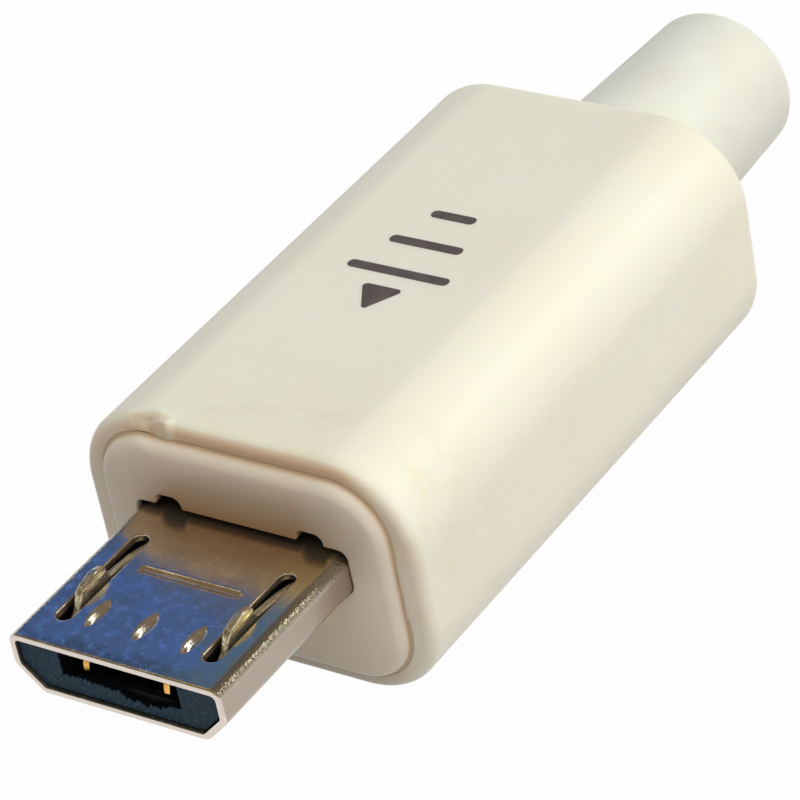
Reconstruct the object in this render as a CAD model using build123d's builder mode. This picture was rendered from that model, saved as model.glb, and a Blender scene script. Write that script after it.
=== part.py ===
"""Micro-B cable plug for soldering by hand, with its moulded cover and cable tube.

Frame, in millimetres: X runs across the plug, Y from its tip towards the cable and Z up,
with the latch hooks on top. The origin lies under the middle of the plug, on the surface
that the cover's flat underside rests on. Stations along the plug are named as distances
behind the plug's tip.
"""

import os

from build123d import *

os.makedirs("parts", exist_ok=True)

# Lengths along the plug, and how far its two centre lines lie off the cover's middle
nose_length = 6.25
cover_length = 17.8
tail_length = 7.7
plug_rise = 0.15
tail_drop = 0.15

# Outer cover
cover_width = 10.8
cover_taper = 0.1
cover_height = 7.5
cover_corner = 2.6
cover_side_wall = 0.73
cover_top_wall = 0.53
cover_front_round = 0.35
cover_rear_round = 0.4
mouth_corner = 1.75
mouth_depth = 2.0
chamber_step = 0.17
rear_wall = 1.0

# Nick in the cover's front edge, left by heat, above the left latch
nick_x = -2.9
nick_radius = 0.75
nick_depth = 0.2

# Strain relief
flange_lip = 0.35
flange_thickness = 1.0
tail_taper = 0.3
tail_wall = 0.6
tail_round = 0.45

# Plug section, standard outside size
plug_width = 6.85
plug_height = 1.8
plug_side = 1.02
plug_bottom_width = 5.3
fold_radius = 0.35
shell_wall = 0.2
shell_length = 10.4
shell_lead_in = 0.08
seam_width = 0.06

# Latch slots, dimples and rib in the top of the shell
latch_spacing = 4.76
slot_width = 0.5
slot_start = 0.98
slot_end = 4.8
dimple_spacing = 1.55
dimple_station = 1.6
dimple_length = 1.25
dimple_width = 0.42
rib_station = 3.55
rib_length = 3.3
rib_width = 0.32
dent_depth = 0.1
dent_taper = 40

# Insulator
insulator_recess = 0.12
cavity_width = 3.85
cavity_end = 5.3
cavity_floor = -0.15
groove_width = 0.36
groove_start = 0.5
groove_floor = -0.53
channel_width = 0.46
channel_start = 0.9
channel_front_floor = -0.42
channel_rear_floor = -0.3
block_height = 3.0
block_length = 3.4
block_round = 0.3
solder_step = 1.2

# Contacts
contact_count = 5
contact_pitch = 0.65
contact_width = 0.3
contact_thickness = 0.15
contact_beam = -0.425
contact_crest = 0.3
contact_dip = 0.02
contact_tip = 0.45
contact_rise = 0.04
contact_root = 3.7
contact_setback = 0.4
contact_bend = 0.2
solder_margin = 0.3

# Latches, as stations behind the tip and heights above the plug's middle
latch_thickness = 0.25
latch_pivot = 9.6
latch_pivot_height = -0.05
latch_boss_radius = 0.35
latch_front = 1.2
latch_front_bottom = 0.12
latch_front_top = 0.42
tooth_start = 1.62
tooth_shoulder = 1.9
tooth_shoulder_height = 0.27
tooth_peak = 2.55
tooth_end = 2.98
tooth_height = 0.42
tooth_fall = 0.14
shoulder_drop = 0.03
window_rear = 4.1
window_height = 0.74
waist = 6.4
waist_top = 0.25
waist_bottom = -0.06
root_top = 0.13

# Front insert
insert_proud = 0.42
insert_round = 0.38
opening_lift = 0.2
opening_round = 0.3
notch_spacing = 4.6
notch_width = 0.85
notch_height = 0.34
notch_round = 0.3
collar_side_margin = 0.37
collar_top_margin = 1.02
collar_round = 0.5
rail_thickness = 0.4
rail_margin = 0.2
rail_lip = 0.5
snap_radius = 0.14
snap_inset = 0.85

# Clearances
press_gap = 0.02
slide_gap = 0.05
pivot_gap = 0.03

overall_length = nose_length + cover_length + tail_length
cover_end = nose_length + cover_length
cover_rear_width = cover_width - cover_taper
cover_middle = cover_height / 2
plug_middle = cover_middle + plug_rise
tail_middle = cover_middle - tail_drop

mouth_width = cover_width - 2 * cover_side_wall
mouth_height = cover_height - 2 * cover_top_wall
mouth_floor = nose_length + mouth_depth
chamber_width = mouth_width - 2 * chamber_step
chamber_height = mouth_height - 2 * chamber_step
chamber_corner = mouth_corner - chamber_step
chamber_end = cover_end - rear_wall

neck_radius = chamber_height / 2 - flange_lip
tail_end_radius = neck_radius - tail_taper
cable_radius = tail_end_radius - tail_wall

plug_top = plug_height / 2
plug_bottom = -plug_height / 2
inner_top = plug_top - shell_wall
latch_x = latch_spacing / 2

insert_width = mouth_width - 2 * slide_gap
insert_height = mouth_height - 2 * slide_gap
insert_corner = mouth_corner - slide_gap
insert_front = nose_length - insert_proud
insert_seat = mouth_floor - slide_gap
collar_width = mouth_width - 2 * collar_side_margin
collar_height = mouth_height - 2 * collar_top_margin
snap_length = mouth_height - 2 * mouth_corner

block_width = collar_width - 2 * (rail_thickness + slide_gap)
block_end = shell_length + block_length
rail_height = block_height + 2 * rail_margin
rail_end = block_end + slide_gap + rail_lip


def along(station):
    """Y of a station that lies this far behind the plug's tip."""
    return station - overall_length / 2


def across(station, height=plug_middle):
    """Plane across the plug at a station, facing the tip, with Z up in it."""
    return Plane(origin=(0, along(station), height), x_dir=(1, 0, 0), z_dir=(0, -1, 0))


def beside(x, height=plug_middle):
    """Upright plane along the plug, facing +X; its x is the distance behind the tip."""
    return Plane(origin=(x, along(0), height), x_dir=(0, 1, 0), z_dir=(1, 0, 0))


def plug_section(station, inset):
    """Six-sided section of the plug at a station, all its walls moved in by inset."""
    half_top = plug_width / 2
    half_bottom = plug_bottom_width / 2
    side_foot = plug_top - plug_side
    with BuildSketch(across(station)) as section:
        with BuildLine():
            Polyline(
                (-half_top, plug_top),
                (half_top, plug_top),
                (half_top, side_foot),
                (half_bottom, plug_bottom),
                (-half_bottom, plug_bottom),
                (-half_top, side_foot),
                close=True,
            )
        make_face()
        fillet(section.vertices(), fold_radius)
        if inset:
            offset(amount=-inset)
    return section.sketch


# Outer cover: a deep moulded box, open at the front, with a hole for the cable tube
with BuildPart() as outer_cover:
    with BuildSketch():
        with BuildLine():
            Polyline(
                (-cover_width / 2, along(nose_length)),
                (cover_width / 2, along(nose_length)),
                (cover_rear_width / 2, along(cover_end)),
                (-cover_rear_width / 2, along(cover_end)),
                close=True,
            )
        make_face()
    extrude(amount=cover_height)
    end_edges = outer_cover.edges().filter_by(Axis.X) + outer_cover.edges().filter_by(Axis.Z)
    fillet(outer_cover.edges() - end_edges, cover_corner)
    fillet(outer_cover.faces().sort_by(Axis.Y)[0].edges(), cover_front_round)
    fillet(outer_cover.faces().sort_by(Axis.Y)[-1].edges(), cover_rear_round)
    with BuildSketch(across(nose_length, cover_middle)):
        RectangleRounded(mouth_width, mouth_height, mouth_corner)
    extrude(amount=-mouth_depth, mode=Mode.SUBTRACT)
    with BuildSketch(across(mouth_floor, cover_middle)):
        RectangleRounded(chamber_width, chamber_height, chamber_corner)
    extrude(amount=mouth_floor - chamber_end, mode=Mode.SUBTRACT)
    with BuildSketch(across(cover_end, tail_middle)):
        Circle(neck_radius + slide_gap)
    extrude(amount=rear_wall, mode=Mode.SUBTRACT)
    with Locations(
        (-mouth_width / 2, along(mouth_floor - snap_inset), cover_middle),
        (mouth_width / 2, along(mouth_floor - snap_inset), cover_middle),
    ):
        Cylinder(
            snap_radius + slide_gap,
            snap_length + 2 * slide_gap,
            mode=Mode.SUBTRACT,
        )
    with Locations((nick_x, along(nose_length), cover_height + nick_radius - nick_depth)):
        Sphere(nick_radius, mode=Mode.SUBTRACT)
outer_cover.part.label = "outer_cover"
export_step(outer_cover.part, "parts/outer_cover.step")

# Strain relief: a soft tube that tapers to the cable, with a flange inside the cover
with BuildPart() as strain_relief:
    with BuildSketch(beside(0, tail_middle)):
        with BuildLine():
            Polyline(
                (chamber_end - flange_thickness, 0),
                (chamber_end - flange_thickness, neck_radius),
                (cover_end, neck_radius),
                (overall_length, tail_end_radius),
                (overall_length, 0),
                close=True,
            )
        make_face()
    revolve(axis=Axis((0, 0, tail_middle), (0, 1, 0)))
    fillet(strain_relief.faces().sort_by(Axis.Y)[-1].edges(), tail_round)
    with BuildSketch(across(chamber_end - flange_thickness, cover_middle)):
        RectangleRounded(
            chamber_width - 2 * slide_gap,
            chamber_height - 2 * slide_gap,
            chamber_corner - slide_gap,
        )
    extrude(amount=-flange_thickness)
    with BuildSketch(across(overall_length, tail_middle)):
        Circle(cable_radius)
    extrude(
        amount=overall_length - chamber_end + flange_thickness,
        mode=Mode.SUBTRACT,
    )
strain_relief.part.label = "strain_relief"
export_step(strain_relief.part, "parts/strain_relief.step")

# Plug shell: sheet metal folded to the plug's section, its edges meeting underneath
with BuildPart() as plug_shell:
    extrude(plug_section(0, 0), amount=-shell_length)
    chamfer(plug_shell.faces().sort_by(Axis.Y)[0].edges(), shell_lead_in)
    extrude(plug_section(0, shell_wall), amount=-shell_length, mode=Mode.SUBTRACT)
    with BuildSketch(Plane.XY.offset(plug_middle + inner_top)):
        with Locations(
            (-dimple_spacing, along(dimple_station)),
            (0, along(dimple_station)),
            (dimple_spacing, along(dimple_station)),
        ):
            SlotOverall(dimple_length, dimple_width, rotation=90)
        with Locations((0, along(rib_station))):
            SlotOverall(rib_length, rib_width)
    extrude(amount=-dent_depth, taper=dent_taper)
    with BuildSketch(Plane.XY.offset(plug_middle + plug_top)):
        with Locations(
            (-dimple_spacing, along(dimple_station)),
            (0, along(dimple_station)),
            (dimple_spacing, along(dimple_station)),
        ):
            SlotOverall(dimple_length, dimple_width, rotation=90)
        with Locations((0, along(rib_station))):
            SlotOverall(rib_length, rib_width)
    extrude(amount=-dent_depth, taper=dent_taper, mode=Mode.SUBTRACT)
    with BuildSketch(Plane.XY.offset(plug_middle + plug_top)):
        with Locations(
            (-latch_x, along((slot_start + slot_end) / 2)),
            (latch_x, along((slot_start + slot_end) / 2)),
        ):
            SlotOverall(slot_end - slot_start, slot_width, rotation=90)
    extrude(amount=-plug_top + inner_top, mode=Mode.SUBTRACT)
    with BuildSketch(Plane.XY.offset(plug_middle + plug_bottom)):
        with Locations((0, along(shell_length / 2))):
            Rectangle(seam_width, shell_length)
    extrude(amount=shell_wall, mode=Mode.SUBTRACT)
plug_shell.part.label = "plug_shell"
export_step(plug_shell.part, "parts/plug_shell.step")

# Insulator: the moulding inside the shell, with the tongue cavity and the solder step
with BuildPart() as insulator:
    extrude(plug_section(insulator_recess, shell_wall + press_gap), amount=insulator_recess - shell_length)
    with BuildSketch(across(shell_length)):
        RectangleRounded(block_width, block_height, block_round)
    extrude(amount=-block_length)
    with BuildSketch(across(insulator_recess)):
        with Locations((0, cavity_floor)):
            Rectangle(cavity_width, plug_height, align=(Align.CENTER, Align.MIN))
    extrude(amount=insulator_recess - cavity_end, mode=Mode.SUBTRACT)
    with BuildSketch(across(groove_start)):
        with Locations((0, groove_floor)):
            with GridLocations(contact_pitch, 0, contact_count, 1):
                Rectangle(
                    groove_width,
                    cavity_floor - groove_floor,
                    align=(Align.CENTER, Align.MIN),
                )
    extrude(amount=groove_start - cavity_end, mode=Mode.SUBTRACT)
    with BuildSketch(across(cavity_end)):
        with Locations((0, contact_beam)):
            with GridLocations(contact_pitch, 0, contact_count, 1):
                Rectangle(
                    contact_width + 2 * press_gap,
                    contact_thickness + 2 * press_gap,
                )
    extrude(amount=cavity_end - block_end, mode=Mode.SUBTRACT)
    with BuildSketch(across(block_end)):
        with Locations((0, contact_beam - contact_thickness / 2 - press_gap)):
            Rectangle(block_width, block_height, align=(Align.CENTER, Align.MIN))
    extrude(amount=block_length - solder_step, mode=Mode.SUBTRACT)
    for x in (-latch_x, latch_x):
        with BuildSketch(beside(x)):
            with BuildLine():
                Polyline(
                    (channel_start, plug_top),
                    (channel_start, channel_front_floor),
                    (waist, channel_front_floor),
                    (latch_pivot, channel_rear_floor),
                    (latch_pivot, plug_top),
                    close=True,
                )
            make_face()
            with Locations((latch_pivot, latch_pivot_height)):
                Circle(latch_boss_radius + pivot_gap)
        extrude(amount=channel_width / 2, both=True, mode=Mode.SUBTRACT)
insulator.part.label = "insulator"
export_step(insulator.part, "parts/insulator.step")

# Contacts: five sprung strips, the outer two reaching nearest to the tip
for number in range(1, contact_count + 1):
    x = (number - (contact_count + 1) / 2) * contact_pitch
    is_outer = number in (1, contact_count)
    tip = contact_tip if is_outer else contact_tip + contact_setback
    with BuildPart() as contact:
        with BuildSketch(beside(x)):
            with BuildLine():
                FilletPolyline(
                    (tip, contact_dip),
                    (tip + contact_rise, contact_crest),
                    (contact_root, contact_beam),
                    (block_end - solder_margin, contact_beam),
                    radius=contact_bend,
                )
            trace(line_width=contact_thickness)
        extrude(amount=contact_width / 2, both=True)
    contact.part.label = f"contact_{number}"
    export_step(contact.part, f"parts/contact_{number}.step")

# Latches: flat blades on edge, each with a ramped tooth that stands through its slot
for side, x in (("left", -latch_x), ("right", latch_x)):
    with BuildPart() as latch:
        with BuildSketch(beside(x)):
            with BuildLine():
                Polyline(
                    (latch_front, latch_front_bottom),
                    (latch_front, latch_front_top),
                    (tooth_start, inner_top),
                    (tooth_shoulder, plug_top + tooth_shoulder_height),
                    (tooth_peak, plug_top + tooth_height),
                    (tooth_end, plug_top + tooth_height - tooth_fall),
                    (tooth_end, plug_top - shoulder_drop),
                    (window_rear, window_height),
                    (waist, waist_top),
                    (latch_pivot, root_top),
                    (latch_pivot, latch_pivot_height - latch_boss_radius / 2),
                    (waist, waist_bottom),
                    close=True,
                )
            make_face()
            with Locations((latch_pivot, latch_pivot_height)):
                Circle(latch_boss_radius)
        extrude(amount=latch_thickness / 2, both=True)
    latch.part.label = f"latch_{side}"
    export_step(latch.part, f"parts/latch_{side}.step")

# Front insert: the plate that closes the cover's mouth, and the cradle behind it
with BuildPart() as front_insert:
    with BuildSketch(across(insert_front, cover_middle)):
        RectangleRounded(insert_width, insert_height, insert_corner)
    extrude(amount=insert_front - insert_seat)
    fillet(front_insert.faces().sort_by(Axis.Y)[0].edges(), insert_round)
    with BuildSketch(across(insert_seat)):
        RectangleRounded(collar_width, collar_height, collar_round)
    extrude(amount=insert_seat - shell_length + slide_gap)
    with BuildSketch(across(shell_length - slide_gap)):
        Rectangle(collar_width, rail_height)
        Rectangle(block_width + 2 * slide_gap, rail_height, mode=Mode.SUBTRACT)
    extrude(amount=shell_length - slide_gap - rail_end)
    with BuildSketch(across(block_end + slide_gap)):
        Rectangle(collar_width, rail_height)
        Rectangle(block_width + 2 * (slide_gap - rail_lip), rail_height, mode=Mode.SUBTRACT)
    extrude(amount=-rail_lip)
    extrude(plug_section(insert_front, -slide_gap), amount=insert_front - shell_length, mode=Mode.SUBTRACT)
    with BuildSketch(across(insert_front)) as opening:
        with Locations((0, plug_top + opening_lift)):
            Rectangle(
                plug_width + 2 * slide_gap,
                plug_side,
                align=(Align.CENTER, Align.MAX),
            )
        fillet(opening.vertices().group_by(Axis.Z)[-1], opening_round)
    extrude(amount=insert_front - shell_length, mode=Mode.SUBTRACT)
    with BuildSketch(across(insert_front)) as notches:
        with Locations((0, plug_top + opening_lift + notch_height)):
            with GridLocations(notch_spacing, 0, 2, 1):
                Rectangle(
                    notch_width,
                    2 * notch_height,
                    align=(Align.CENTER, Align.MAX),
                )
        fillet(notches.vertices().group_by(Axis.Z)[-1], notch_round)
    extrude(amount=insert_front - shell_length, mode=Mode.SUBTRACT)
    with Locations(
        (-insert_width / 2, along(mouth_floor - snap_inset), cover_middle),
        (insert_width / 2, along(mouth_floor - snap_inset), cover_middle),
    ):
        Cylinder(snap_radius, snap_length)
front_insert.part.label = "front_insert"
export_step(front_insert.part, "parts/front_insert.step")
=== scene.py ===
"""Looks of the micro-B cable plug: its finish, its finer forms and the studio round it.

Shapes are made in millimetres, with X across the plug, Y as the distance behind the plug's
tip and Z up from the surface that the cover rests on, and are then set into the frame.
"""

import math
from functools import partial, reduce
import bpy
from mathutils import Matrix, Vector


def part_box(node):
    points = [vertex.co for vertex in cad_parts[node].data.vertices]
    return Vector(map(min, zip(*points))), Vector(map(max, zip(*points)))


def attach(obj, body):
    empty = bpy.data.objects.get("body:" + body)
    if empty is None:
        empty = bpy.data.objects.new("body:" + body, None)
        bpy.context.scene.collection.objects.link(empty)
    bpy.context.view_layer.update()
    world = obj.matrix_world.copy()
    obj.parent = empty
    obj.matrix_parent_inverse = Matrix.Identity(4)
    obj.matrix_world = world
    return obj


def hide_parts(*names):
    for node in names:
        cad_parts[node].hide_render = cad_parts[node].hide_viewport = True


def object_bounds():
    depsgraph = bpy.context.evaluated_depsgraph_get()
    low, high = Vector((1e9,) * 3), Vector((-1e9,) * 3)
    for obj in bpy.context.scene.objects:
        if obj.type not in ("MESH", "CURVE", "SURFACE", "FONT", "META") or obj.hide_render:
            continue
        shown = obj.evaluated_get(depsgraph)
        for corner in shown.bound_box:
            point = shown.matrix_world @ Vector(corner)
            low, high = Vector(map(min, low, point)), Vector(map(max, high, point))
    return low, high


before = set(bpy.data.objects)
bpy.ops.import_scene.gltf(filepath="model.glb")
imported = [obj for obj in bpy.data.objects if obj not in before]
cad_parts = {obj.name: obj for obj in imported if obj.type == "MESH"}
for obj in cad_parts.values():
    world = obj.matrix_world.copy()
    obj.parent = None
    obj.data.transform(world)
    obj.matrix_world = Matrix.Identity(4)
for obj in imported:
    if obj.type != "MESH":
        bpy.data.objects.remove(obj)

from types import SimpleNamespace

import bmesh
import bpy
from mathutils import Matrix, Vector, noise

bl_info = {
    "name": "Micro-B cable plug",
    "version": (1, 0, 0),
    "blender": (4, 5, 0),
    "location": "3D View > Sidebar > Plug",
    "description": "Dresses the packed plug: ivory cover, metal nose, latches, tube and studio",
    "category": "Object",
}

MM = 0.001
CAD_LOW, CAD_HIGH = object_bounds()

# Millimetres behind the tip become metres in the frame
TO_FRAME = Matrix.Translation((0, CAD_LOW.y, 0)) @ Matrix.Scale(MM, 4)
# Points of a mesh nearer to each other than this, in millimetres, become one
WELD = 0.0005


def node_span(name, axis):
    """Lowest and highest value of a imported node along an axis, in the maker's millimetres."""
    low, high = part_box(name)
    shift = CAD_LOW.y if axis == 1 else 0
    return (low[axis] - shift) / MM, (high[axis] - shift) / MM


COVER_FRONT, COVER_REAR = node_span("outer_cover", 1)
COVER_TOP = node_span("outer_cover", 2)[1]
INSERT_FRONT, INSERT_BACK = node_span("front_insert", 1)
NOSE_BACK = node_span("plug_shell", 1)[1]
NOSE_BOTTOM, NOSE_TOP = node_span("plug_shell", 2)
TUBE_FRONT, TUBE_REAR = node_span("strain_relief", 1)
COVER_MIDDLE = COVER_TOP / 2
PLUG_MIDDLE = (NOSE_BOTTOM + NOSE_TOP) / 2
TUBE_MIDDLE = 3.6


def length(name, description, millimetres):
    """A length property whose default is given in millimetres."""
    return bpy.props.FloatProperty(
        name=name, description=description, default=millimetres * MM, unit="LENGTH", precision=5
    )


def linear(hex_colour):
    """Linear colour of an sRGB hex value."""
    channels = [int(hex_colour[i : i + 2], 16) / 255 for i in (1, 3, 5)]
    return [c / 12.92 if c <= 0.04045 else ((c + 0.055) / 1.055) ** 2.4 for c in channels]


def colour(name, description, hex_colour):
    """A colour property whose default is given as an sRGB hex value."""
    return bpy.props.FloatVectorProperty(
        name=name,
        description=description,
        default=linear(hex_colour),
        size=3,
        min=0,
        max=1,
        subtype="COLOR",
    )


class PlugCoverSettings(bpy.types.PropertyGroup):
    width: length("Width", "Width of the cover at its mouth", 10.8)
    taper: length("Taper", "How much narrower the cover is at its rear", 0.1)
    corner: length("Corner", "Radius of the four long corners", 2.6)
    front_round: length("Front round", "Rounding of the front edge", 0.35)
    rear_round: length("Rear round", "Rounding of the rear edge", 0.4)
    side_wall: length("Side wall", "Width of the lip beside the mouth", 0.73)
    top_wall: length("Top wall", "Width of the lip above and below the mouth", 0.53)
    mouth_corner: length("Mouth corner", "Corner radius of the mouth", 1.75)
    mouth_depth: length("Mouth depth", "Depth of the seat of the front insert", 2.0)
    chamber_step: length("Step", "How far the chamber's wall stands inside the mouth's", 0.17)
    rear_wall: length("Rear wall", "Thickness of the wall with the tube's hole", 1.0)
    hole: length("Hole", "Radius of the tube's hole", 2.75)
    ivory: colour("Ivory", "Colour of the moulded ABS", "#EBEADA")
    shade: colour("Warm ivory", "Warmer tone in the mottling of the ABS", "#EAE6D3")


class PlugInsertSettings(bpy.types.PropertyGroup):
    gap: length("Gap", "Clearance between the insert and the mouth", 0.05)
    edge_round: length("Edge round", "Rounding of the insert's front edge", 0.29)
    crown: length("Crown", "How far the face falls back from its middle to its edge", 0.13)
    crown_width: length("Crown width", "Width of the band in which the face falls back", 0.95)
    opening_lift: length("Lift", "Height of the opening above the nose", 0.2)
    notch_height: length("Notch height", "How far the notches reach above the opening", 0.34)
    notch_width: length("Notch width", "Width of each relief notch", 0.85)
    notch_spacing: length("Notch spacing", "Distance between the notches", 4.6)
    collar_width: length("Collar width", "Width of the collar behind the plate", 8.6)
    collar_height: length("Collar height", "Height of the collar behind the plate", 4.4)
    ivory: colour("Ivory", "Colour of the insert's ABS", "#E4DCCD")
    # Colour of the painted warm shade round the insert's opening
    opening_shade: colour("Stain", "Warm stain round the opening", "#A4763A")


class PlugNoseSettings(bpy.types.PropertyGroup):
    width: length("Width", "Outside width of the folded sheet", 6.85)
    bottom_width: length("Bottom width", "Width of the narrow side", 5.3)
    side: length("Side", "Height of the upright sides", 1.02)
    fold: length("Fold", "Outside radius of the folds", 0.35)
    sheet: length("Sheet", "Thickness of the sheet", 0.2)
    lead_in: length("Lead-in", "Rounding of the front edge", 0.08)
    seam: length("Seam", "Gap between the edges underneath", 0.008)
    nickel: colour("Nickel", "Colour of the plated sheet", "#D6CCC0")
    insulator: colour("Insulator", "Colour of the moulded insulator", "#1F3747")
    gold: colour("Gold", "Colour of the contacts", "#EFB968")


class PlugLatchSettings(bpy.types.PropertyGroup):
    spacing: length("Spacing", "Distance between the two blades", 4.76)
    thickness: length("Thickness", "Thickness of each blade", 0.25)
    edge: length("Edge", "Rounding left by stamping and wear", 0.08)
    steel: colour("Spring steel", "Colour of the stamped blades", "#E6DCC0")


class PlugTubeSettings(bpy.types.PropertyGroup):
    neck: length("Neck", "Radius where the tube leaves the cover", 2.7)
    end: length("End", "Radius at the free end", 2.4)
    bore: length("Bore", "Radius of the cable's bore", 1.8)
    end_round: length("End round", "Rounding of the free end", 0.45)
    white: colour("White", "Colour of the soft PVC", "#E3E4D9")


class PlugPrintSettings(bpy.types.PropertyGroup):
    front: length("Front", "Distance of the mark's point behind the tip", 12.55)
    back: length("Back", "Distance of the mark's last bar behind the tip", 17.45)
    width: length("Width", "Width of the mark's widest bar", 3.3)
    stroke: length("Stroke", "Thickness of each bar", 0.34)
    ink: colour("Ink", "Colour of the pad-printed ink", "#544A3E")


class PlugStudioSettings(bpy.types.PropertyGroup):
    azimuth: bpy.props.FloatProperty(
        name="Azimuth",
        description="Where the camera stands, turned from the plug's tip to its right",
        default=math.radians(39.694),
        subtype="ANGLE",
    )
    elevation: bpy.props.FloatProperty(
        name="Elevation",
        description="Height of the camera above the horizon",
        default=math.radians(34.001),
        subtype="ANGLE",
    )
    roll: bpy.props.FloatProperty(
        name="Roll",
        description="Tilt of the picture",
        default=math.radians(-11.714),
        subtype="ANGLE",
    )
    lens: bpy.props.FloatProperty(
        name="Lens", description="Focal length for a 36 mm wide picture", default=184.44
    )
    floor: colour("Floor", "Colour of the floor", "#ADA7A4")
    wall: colour("Wall", "Colour of the far wall that the metal reflects", "#2F68BE")


# Shapes in the maker's millimetres


def in_mm(settings):
    """The group's lengths in millimetres, by name."""
    values = {name: getattr(settings, name) for name in settings.__annotations__}
    return SimpleNamespace(**{k: v / MM for k, v in values.items() if isinstance(v, float)})


def blend(a, b, share):
    """The value at this share of the way from a to b."""
    return a + (b - a) * share


def bump_at(value, centre, half_width):
    """Smooth hill of height 1 round a centre, 0 from half_width on."""
    share = min(abs(value - centre) / half_width, 1)
    return (1 - share * share) ** 2


def clamped(value):
    """The value, kept between 0 and 1."""
    return min(max(value, 0), 1)


def edge_arc(radius, steps):
    """Steps round a rounded edge, as (distance from one face, distance from the other)."""
    turns = [math.radians(90 * i / steps) for i in range(steps + 1)]
    return [(radius * (1 - math.cos(a)), radius * (1 - math.sin(a))) for a in turns]


def rounded_outline(width, height, corner, turns, straights):
    """Points (x, z) round a rounded rectangle, from the left end of its top, anticlockwise.

    turns holds the steps of the corners, top left first, and straights those of the left,
    bottom, right and top sides.
    """
    x, z = width / 2 - corner, height / 2 - corner
    arcs = []
    for (cx, cz, start), turn in zip(((-x, z, 90), (-x, -z, 180), (x, -z, 270), (x, z, 0)), turns):
        angles = [math.radians(start + 90 * i / turn) for i in range(turn + 1)]
        arms = [(corner * math.cos(a), corner * math.sin(a)) for a in angles]
        arcs.append([Vector((cx + arm_x, cz + arm_z)) for arm_x, arm_z in arms])
    points = []
    for i, steps in enumerate(straights):
        points += arcs[i]
        start, end = arcs[i][-1], arcs[(i + 1) % 4][0]
        points += [start.lerp(end, step / steps) for step in range(1, steps)]
    return points


def edge_directions(corners, i):
    """Directions of the edges before and after a corner of a closed outline."""
    (x0, z0, _), (x, z, _) = corners[i - 1], corners[i]
    x1, z1, _ = corners[(i + 1) % len(corners)]
    return Vector((x - x0, z - z0)).normalized(), Vector((x1 - x, z1 - z)).normalized()


def moved_in(corners, distance):
    """Corners (x, z, radius) of an anticlockwise outline whose edges move in by a distance."""
    result = []
    for i, (x, z, radius) in enumerate(corners):
        before, after = edge_directions(corners, i)
        normal_before, normal_after = Vector((-before.y, before.x)), Vector((-after.y, after.x))
        shift = (normal_before + normal_after) * distance / (1 + normal_before.dot(normal_after))
        side = 1 if before.x * after.y - before.y * after.x > 0 else -1
        result.append((x + shift.x, z + shift.y, max(radius - side * distance, 0.01)))
    return result


def rounded(corners, steps):
    """Points round a closed outline of corners (x, z, radius), each corner an arc."""
    points = []
    for i, (x, z, radius) in enumerate(corners):
        before, after = edge_directions(corners, i)
        turn = math.atan2(before.x * after.y - before.y * after.x, before.dot(after))
        reach = abs(radius * math.tan(turn / 2))
        centre = Vector((x, z)) + (after - before).normalized() * radius / math.cos(turn / 2)
        arm = Vector((x, z)) - before * reach - centre
        for step in range(steps + 1):
            a = turn * step / steps
            spun = Vector((arm.x * math.cos(a) - arm.y * math.sin(a),
                           arm.x * math.sin(a) + arm.y * math.cos(a)))
            points.append(centre + spun)
    return points


def stadium(centre, length_y, width_x, steps=10):
    """Points (x, y) round a slot with round ends, longer in Y or in X."""
    radius = min(length_y, width_x) / 2
    x, y = width_x / 2, length_y / 2
    corners = [(-x, -y, radius), (x, -y, radius), (x, y, radius), (-x, y, radius)]
    shrunk = [(cx, cy, radius * 0.999) for cx, cy, radius in corners]
    return [p + Vector(centre) for p in rounded(shrunk, steps)]


def upright(points, station, height):
    """Outline points (x, z) as a ring across the plug."""
    return [Vector((p.x, station, height + p.y)) for p in points]


def level(points, height):
    """Outline points (x, y) as a ring in a level plane."""
    return [Vector((p.x, p.y, height)) for p in points]


def skin(mesh, rings, closed=True, skip=()):
    """Quads between rings of as many points each; skip holds (ring, point) pairs left open."""
    rows = [[mesh.verts.new(point) for point in ring] for ring in rings]
    for r, (near, far) in enumerate(zip(rows, rows[1:])):
        for i in range(len(near) if closed else len(near) - 1):
            if (r, i) not in skip:
                j = (i + 1) % len(near)
                mesh.faces.new((near[i], near[j], far[j], far[i]))
    return rows


def edges_round(mesh, row):
    """The edges of a closed row of vertices, made where they are missing."""
    pairs = zip(row, row[1:] + row[:1])
    return [mesh.edges.get(pair) or mesh.edges.new(pair) for pair in pairs]


def fill_flat(mesh, edges):
    """Fills the flat area between closed rows of edges."""
    bmesh.ops.triangle_fill(mesh, use_beauty=True, edges=edges)


def closed_bar(mesh, rings, filled=False):
    """A skin with a face at each end; filled ends are for outlines that also bend inward."""
    rows = skin(mesh, rings)
    for row in (rows[0], rows[-1]):
        if filled:
            fill_flat(mesh, edges_round(mesh, row))
        else:
            mesh.faces.new(row)


def added(name, data):
    """A new object of the scene."""
    made = bpy.data.objects.new(name, data)
    bpy.context.scene.collection.objects.link(made)
    return made


def make_piece(
    name, mesh, material, slot, *stands_for, body="plug_body", sharp=38, flat_top=False
):
    """Turns a mesh in millimetres into a piece that rides on its body.

    Edges stay sharp where they turn by more than so many degrees.
    """
    bmesh.ops.remove_doubles(mesh, verts=mesh.verts, dist=WELD)
    bmesh.ops.recalc_face_normals(mesh, faces=mesh.faces)
    limit = math.radians(sharp)
    for edge in mesh.edges:
        edge.smooth = edge.calc_face_angle(math.pi) < limit
    mesh.normal_update()
    for face in mesh.faces:
        face.smooth = not (flat_top and face.normal.z > 0.99999)
    data = bpy.data.meshes.new(name)
    mesh.to_mesh(data)
    mesh.free()
    data.transform(TO_FRAME)
    data.materials.append(material)
    piece = added(name, data)
    piece.modifiers.new("even_normals", "WEIGHTED_NORMAL").keep_sharp = True
    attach(piece, body)
    if stands_for:
        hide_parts(*stands_for)
    return piece


# Finishes


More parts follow.
